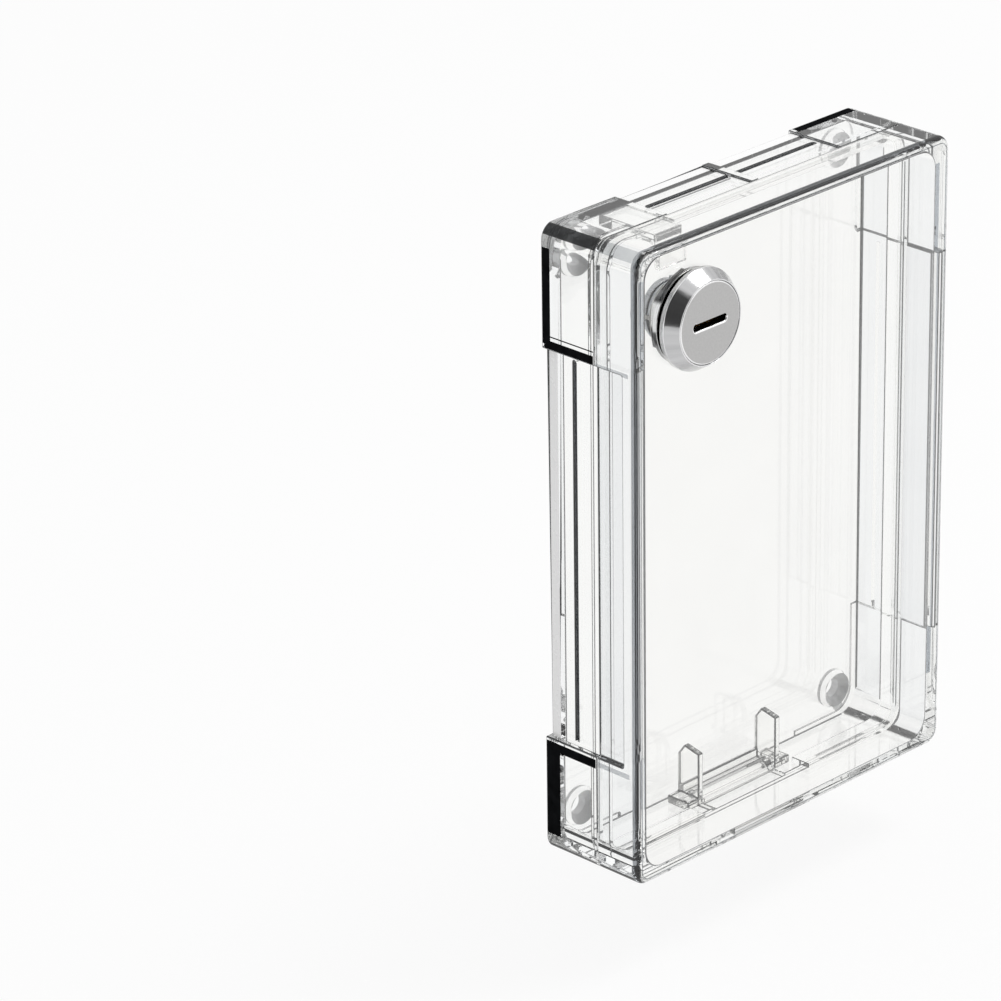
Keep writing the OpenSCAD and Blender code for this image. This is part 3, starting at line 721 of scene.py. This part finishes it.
# Painted reflections: the light and dark rays that the lathe's rings gather from the light, as
# tones in one turn round the washer.
tones = [(0.0, "#F8F8F8"), (0.08, "#FFFFFF"), (0.092, "#3C3C3E"), (0.125, "#7A7A7C"),
         (0.15, "#333335"), (0.19, "#58585A"), (0.22, "#D0D0D0"), (0.32, "#9A9A9C"),
         (0.5, "#B8B8B8"), (0.7, "#DADADA"), (0.84, "#C4C4C6"), (0.9, "#9A9A9C"),
         (0.94, "#858587"), (0.952, "#2A2A2C"), (0.985, "#464648"), (0.995, "#F0F0F0")]
for k, (at, tone) in enumerate(tones):
    stop = bands.color_ramp.elements[k] if k < 2 else bands.color_ramp.elements.new(at)
    stop.position, stop.color = at, linear(tone)
speck = add_node(tree, "ShaderNodeMix", {"Factor": 0.35}, {"A": bands.outputs["Color"], "B": lathe},
                 data_type="RGBA", blend_type="OVERLAY").outputs["Result"]
rough = add_node(tree, "ShaderNodeMapRange", {"To Min": 0.14, "To Max": 0.3},
                 {"Value": lathe}).outputs["Result"]
skin = add_node(tree, "ShaderNodeBsdfPrincipled", {"Metallic": 1},
                {"Base Color": speck, "Roughness": rough})
add_node(tree, "ShaderNodeOutputMaterial", links={"Surface": skin.outputs["BSDF"]})
rounded_copy("lock_backing_washer", "backing_washer", 0.00012, "cover",
             [washer_painted_reflections, polished_rim])


# ---- Lock nut
# A thin hexagon nut of steel, turned and nickel plated like the washer. It is screwed on the
# barrel behind the washer.
# The nut takes the washer's material, painted reflections included.
rounded_copy("lock_hexagon_nut", "lock_nut", 0.00015, "cover",
             [washer_painted_reflections, polished_rim])


# ---- Plug
# The plug is die-cast zinc with a blasted, nickel-plated face. Its key slot has a bright edge,
# left by the broach, and looks into the dark keyway. It turns in the housing's bore.
blasted = metal("nickel_plate_blasted", "#B4B4B4", "#D2D1D0", 0.0005, (0.42, 0.55), dent=0.00004)
cast_core = metal("zinc_die_cast", "#77777A", "#A0A0A2", 0.0012, (0.35, 0.55), dent=0.00003)
slot_rim = metal("chrome_broached_edge", "#F2F2F2", "#FFFFFF", 0.002, (0.2, 0.35))
# The walls of the keyway are near black.
keyway = metal("zinc_die_cast_keyway_near_black", "#0C0A08", "#26211C", 0.0008, (0.5, 0.7))
disc_rear, slot_half, slot_grow = 0.0310, 0.00075, 1.2
slot_end, keyway_end, keyway_depth = 0.0053, 0.0056, 0.009
face_out = -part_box("lock_plug")[0].y


def plug_finish(face):
    c = face.calc_center_median()
    out = -c.y
    if out > face_out - 1e-5:
        return 0
    in_slot = abs(c.z - lock_z) < slot_half + 1e-5 and abs(c.x - lock_x) < keyway_end
    return 3 if in_slot and out > disc_rear - keyway_depth else 2


def plug_share(edge):
    """The slot's edge on the face is the widest; edges inside are half that."""
    return 1 if -(edge.verts[0].co.y + edge.verts[1].co.y) / 2 > face_out - 1e-5 else 0.5


plug = rounded_copy("key_plug", "lock_plug", 0.00036, "plug",
                    [blasted, slot_rim, cast_core, keyway], plug_finish, plug_share)
shape = bmesh.new()
shape.from_mesh(plug.data)
for v in shape.verts:
    in_disc = -v.co.y > disc_rear - 1e-5
    if in_disc and abs(v.co.z - lock_z) < slot_half + 1e-5 and abs(v.co.x - lock_x) < slot_end:
        v.co.z = lock_z + (v.co.z - lock_z) * slot_grow
shape.to_mesh(plug.data)
shape.free()


# ---- Wafers
# Five brass wafers stamped from strip, each with a lug for its spring.
stamped_brass = metal("brass_stamped", "#A9853C", "#D9B869", 0.0009, (0.2, 0.4), stretch=(1, 1, 6))
for k in range(1, 6):
    rounded_copy(f"brass_wafer_{k}", f"wafer_{k}", 0.00006, "plug",
                 [stamped_brass, stamped_brass])


# ---- Wafer springs
# A coil of hard steel wire under each wafer's lug.
spring_wire = metal("spring_steel_wire", "#6C6E72", "#B4B6BA", 0.0006, (0.15, 0.3))
spring_low, spring_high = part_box("wafer_springs")
wire = 0.00011
coil_radius = (spring_high.z - spring_low.z) / 2 - wire
coil_length = spring_high.x - spring_low.x - 2 * wire
first_coil = -spring_high.y + 0.00055
wafer_pitch = 0.00175
tree, sizes = new_tree("coil_springs", [
    ("Coils", "NodeSocketInt", 5), ("Turns", "NodeSocketFloat", 8.0),
    ("Radius", "NodeSocketFloat", 0.0004), ("Length", "NodeSocketFloat", 0.0026),
    ("Wire", "NodeSocketFloat", 0.0001), ("Pitch", "NodeSocketFloat", 0.00175)])
wind = add_node(tree, "GeometryNodeCurveSpiral", {"Resolution": 16}, {
    "Rotations": sizes.outputs["Turns"], "Start Radius": sizes.outputs["Radius"],
    "End Radius": sizes.outputs["Radius"], "Height": sizes.outputs["Length"]}).outputs[0]
section = add_node(tree, "GeometryNodeCurvePrimitiveCircle", {"Resolution": 6},
                   {"Radius": sizes.outputs["Wire"]}).outputs["Curve"]
coil = add_node(tree, "GeometryNodeCurveToMesh", {"Fill Caps": True},
                {"Curve": wind, "Profile Curve": section}).outputs[0]
laid = add_node(tree, "GeometryNodeTransform", {"Rotation": (0, math.radians(90), 0)},
                {"Geometry": coil}).outputs[0]
step = add_node(tree, "ShaderNodeMath", {1: -1.0}, {0: sizes.outputs["Pitch"]},
                operation="MULTIPLY")
offset = add_node(tree, "ShaderNodeCombineXYZ", links={"Y": step.outputs[0]})
row = add_node(tree, "GeometryNodeMeshLine",
               {"Start Location": (spring_low.x + wire, -first_coil,
                                   (spring_low.z + spring_high.z) / 2)},
               {"Count": sizes.outputs["Coils"], "Offset": offset.outputs[0]}).outputs[0]
placed = add_node(tree, "GeometryNodeInstanceOnPoints",
                  links={"Points": row, "Instance": laid}).outputs[0]
end_tree(tree, placed, spring_wire)
grown("wafer_coil_springs", tree, {
    "Coils": 5, "Turns": 8.0, "Radius": coil_radius, "Length": coil_length, "Wire": wire,
    "Pitch": wafer_pitch}, "plug", ["wafer_springs"])


# ---- Retaining clip and stop washer
# The split ring of spring steel holds the plug in its barrel. The stop washer behind it is
# stamped steel; its rim meets the housing's pin and limits the turn to a quarter.
clip_steel = metal("spring_steel_blued", "#2E3238", "#5A616B", 0.001, (0.2, 0.35))
zinc_plate = metal("zinc_plated_steel", "#8E9298", "#CDD0D3", 0.0015, (0.22, 0.4))
rounded_copy("split_retaining_ring", "plug_clip", 0.00008, "plug",
             [clip_steel, clip_steel])
rounded_copy("quarter_turn_stop", "stop_washer", 0.0001, "plug",
             [zinc_plate, zinc_plate])


# ---- Cam
# Stamped from 1.6 mm steel and zinc plated, with fine rolling marks along its length.
rolled_steel = metal("zinc_plated_rolled_steel", "#9A9DA1", "#C9CBCE", 0.004, (0.2, 0.38),
                     stretch=(1, 1, 12))
rounded_copy("cam_arm", "lock_cam", 0.00022, "plug",
             [rolled_steel, rolled_steel])


# ---- Star washer
# A ring of hardened steel with ten twisted teeth that bite under the screw's head.
star_low, star_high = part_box("star_washer")
tree, sizes = new_tree("star_teeth", [
    ("Teeth", "NodeSocketInt", 10), ("Ring", "NodeSocketFloat", 0.003),
    ("Twist", "NodeSocketFloat", 0.35)])
band = add_node(tree, "GeometryNodeCurvePrimitiveCircle", {"Resolution": 60},
                {"Radius": sizes.outputs["Ring"]}).outputs["Curve"]
profile = add_node(tree, "GeometryNodeCurvePrimitiveQuadrilateral",
                   {"Width": 0.0012, "Height": 0.00035}).outputs["Curve"]
ring = add_node(tree, "GeometryNodeCurveToMesh",
                links={"Curve": band, "Profile Curve": profile}).outputs[0]
tooth = add_node(tree, "GeometryNodeMeshCube", {"Size": (0.0011, 0.0009, 0.00032)}).outputs["Mesh"]
lean = add_node(tree, "ShaderNodeCombineXYZ", links={"X": sizes.outputs["Twist"]}).outputs[0]
tooth = add_node(tree, "GeometryNodeTransform", {"Translation": (0.0036, 0, 0)},
                 {"Geometry": tooth, "Rotation": lean}).outputs[0]
spots = add_node(tree, "GeometryNodeMeshLine", {"Offset": (0, 0, 0)},
                 {"Count": sizes.outputs["Teeth"]}).outputs[0]
number = add_node(tree, "GeometryNodeInputIndex").outputs[0]
part = add_node(tree, "ShaderNodeMath", links={0: number, 1: sizes.outputs["Teeth"]},
                operation="DIVIDE")
turn = add_node(tree, "ShaderNodeMath", {1: math.tau}, {0: part.outputs[0]}, operation="MULTIPLY")
turn = add_node(tree, "ShaderNodeCombineXYZ", links={"Z": turn.outputs[0]}).outputs[0]
teeth = add_node(tree, "GeometryNodeInstanceOnPoints",
                 links={"Points": spots, "Instance": tooth, "Rotation": turn}).outputs[0]
both = add_node(tree, "GeometryNodeJoinGeometry")
for part in (ring, teeth):
    tree.links.new(part, both.inputs[0])
seated = add_node(tree, "GeometryNodeTransform",
                  {"Translation": (lock_x, (star_low.y + star_high.y) / 2, lock_z),
                   "Rotation": (math.radians(90), 0, 0)}, {"Geometry": both.outputs[0]}).outputs[0]
end_tree(tree, seated, clip_steel)
grown("star_lock_washer", tree, {"Teeth": 10, "Ring": 0.0028, "Twist": 0.35}, "plug",
      ["star_washer"])


# ---- Cam screw
# A pan-head machine screw of zinc-plated steel with a cross recess; it holds the cam on the tail.
rounded_copy("cam_pan_head_screw", "cam_screw", 0.0002, "plug",
             [zinc_plate, zinc_plate])


# ---- Room
# A pale paper floor, a white studio round it, and one soft box. What the camera, the metal and
# the clear plastic see is white, except round the camera itself, where the studio is dark:
# that draws the box's edges. The floor keeps the object's shadow. The box hangs on a wall, so the
# floor lies just below the place that the open cover swings down to.
floor_mesh = bpy.data.meshes.new("floor")
half, floor_gap = 1.5, 0.0005
hinge_place = next(j for j in frame["joints"] if j["name"] == "cover_hinge")["pos_m"]
level = hinge_place[2] - (hinge_place[1] - cad_box[0][1]) - floor_gap
floor_mesh.from_pydata([(-half, -half, level), (half, -half, level), (half, half, level),
                        (-half, half, level)], [], [(0, 1, 2, 3)])
floor = bpy.data.objects.new("floor", floor_mesh)
scene.collection.objects.link(floor)


def seen_directly(tree, path):
    """1 for rays of the camera and for rays that metal or clear plastic has turned, else 0."""
    seen = add_node(tree, "ShaderNodeMath", operation="MAXIMUM",
                    links={0: path.outputs["Is Camera Ray"], 1: path.outputs["Is Glossy Ray"]})
    seen = add_node(tree, "ShaderNodeMath", operation="MAXIMUM",
                    links={0: seen.outputs[0], 1: path.outputs["Is Transmission Ray"]})
    return seen.outputs[0]


paper, tree = new_material("pale_paper")
seen = seen_directly(tree, add_node(tree, "ShaderNodeLightPath"))
share = add_node(tree, "ShaderNodeMath", {1: 0.9}, {0: seen}, operation="MULTIPLY")
matt = add_node(tree, "ShaderNodeBsdfDiffuse", {"Color": linear("#F6F6F6")})
glow = add_node(tree, "ShaderNodeEmission", {"Color": (1, 1, 1, 1), "Strength": 1})
mixed = add_node(tree, "ShaderNodeMixShader",
                 links={0: share.outputs[0], 1: matt.outputs[0], 2: glow.outputs[0]})
add_node(tree, "ShaderNodeOutputMaterial", links={"Surface": mixed.outputs[0]})
floor_mesh.materials.append(paper)

world = bpy.data.worlds.new("studio")
scene.world = world
world.use_nodes = True
tree = world.node_tree
tree.nodes.clear()
path = add_node(tree, "ShaderNodeLightPath")
seen = seen_directly(tree, path)
light = add_node(tree, "ShaderNodeMapRange", {"To Min": 0.6, "To Max": 1.0},
                 {"Value": seen}).outputs[0]
turned = add_node(tree, "ShaderNodeMath", links={0: path.outputs["Glossy Depth"],
                                                 1: path.outputs["Transmission Depth"]},
                  operation="ADD")
turned = add_node(tree, "ShaderNodeMath", {1: 1.0}, {0: turned.outputs[0]}, operation="MINIMUM")
way = add_node(tree, "ShaderNodeTexCoord").outputs["Generated"]
through = add_node(tree, "ShaderNodeMath", {1: 1.0}, {0: path.outputs["Transmission Depth"]},
                   operation="MINIMUM").outputs[0]
# Each dark side: its direction, the cosines where it starts and is full, its depth, and which
# rays see it.
dark_sides = [
    (-forward, 0.74, 0.84, 0.93, turned.outputs[0]),
    (-forward, 0.36, 0.5, 0.85, through),
    (Vector((0.96, 0.242, 0.136)), 0.93, 0.985, 0.6, turned.outputs[0]),
]
for side, start, stop, depth, rays in dark_sides:
    facing = add_node(tree, "ShaderNodeVectorMath", {1: side}, {0: way}, operation="DOT_PRODUCT")
    shade = add_node(tree, "ShaderNodeMapRange",
                     {"From Min": start, "From Max": stop, "To Max": depth},
                     {"Value": facing.outputs["Value"]}, interpolation_type="SMOOTHSTEP")
    shade = add_node(tree, "ShaderNodeMath", links={0: shade.outputs[0], 1: rays},
                     operation="MULTIPLY")
    keep = add_node(tree, "ShaderNodeMath", {0: 1.0}, {1: shade.outputs[0]}, operation="SUBTRACT")
    light = add_node(tree, "ShaderNodeMath", links={0: light, 1: keep.outputs[0]},
                     operation="MULTIPLY").outputs[0]
back = add_node(tree, "ShaderNodeBackground", {"Color": (1, 1, 1, 1)}, {"Strength": light})
add_node(tree, "ShaderNodeOutputWorld", links={"Surface": back.outputs[0]})

lamp = bpy.data.lights.new("soft_box", "AREA")
lamp.shape = "RECTANGLE"
lamp.size, lamp.size_y = 0.5, 0.5
lamp.energy = 6
soft_box = bpy.data.objects.new("soft_box", lamp)
soft_box.location = (0.5, -0.24, 1.06)
soft_box.rotation_euler = (-soft_box.location).to_track_quat("-Z", "Y").to_euler()
scene.collection.objects.link(soft_box)

scene.view_settings.view_transform = "Standard"
scene.cycles.max_bounces = 32
scene.cycles.transmission_bounces = 24
scene.cycles.glossy_bounces = 16
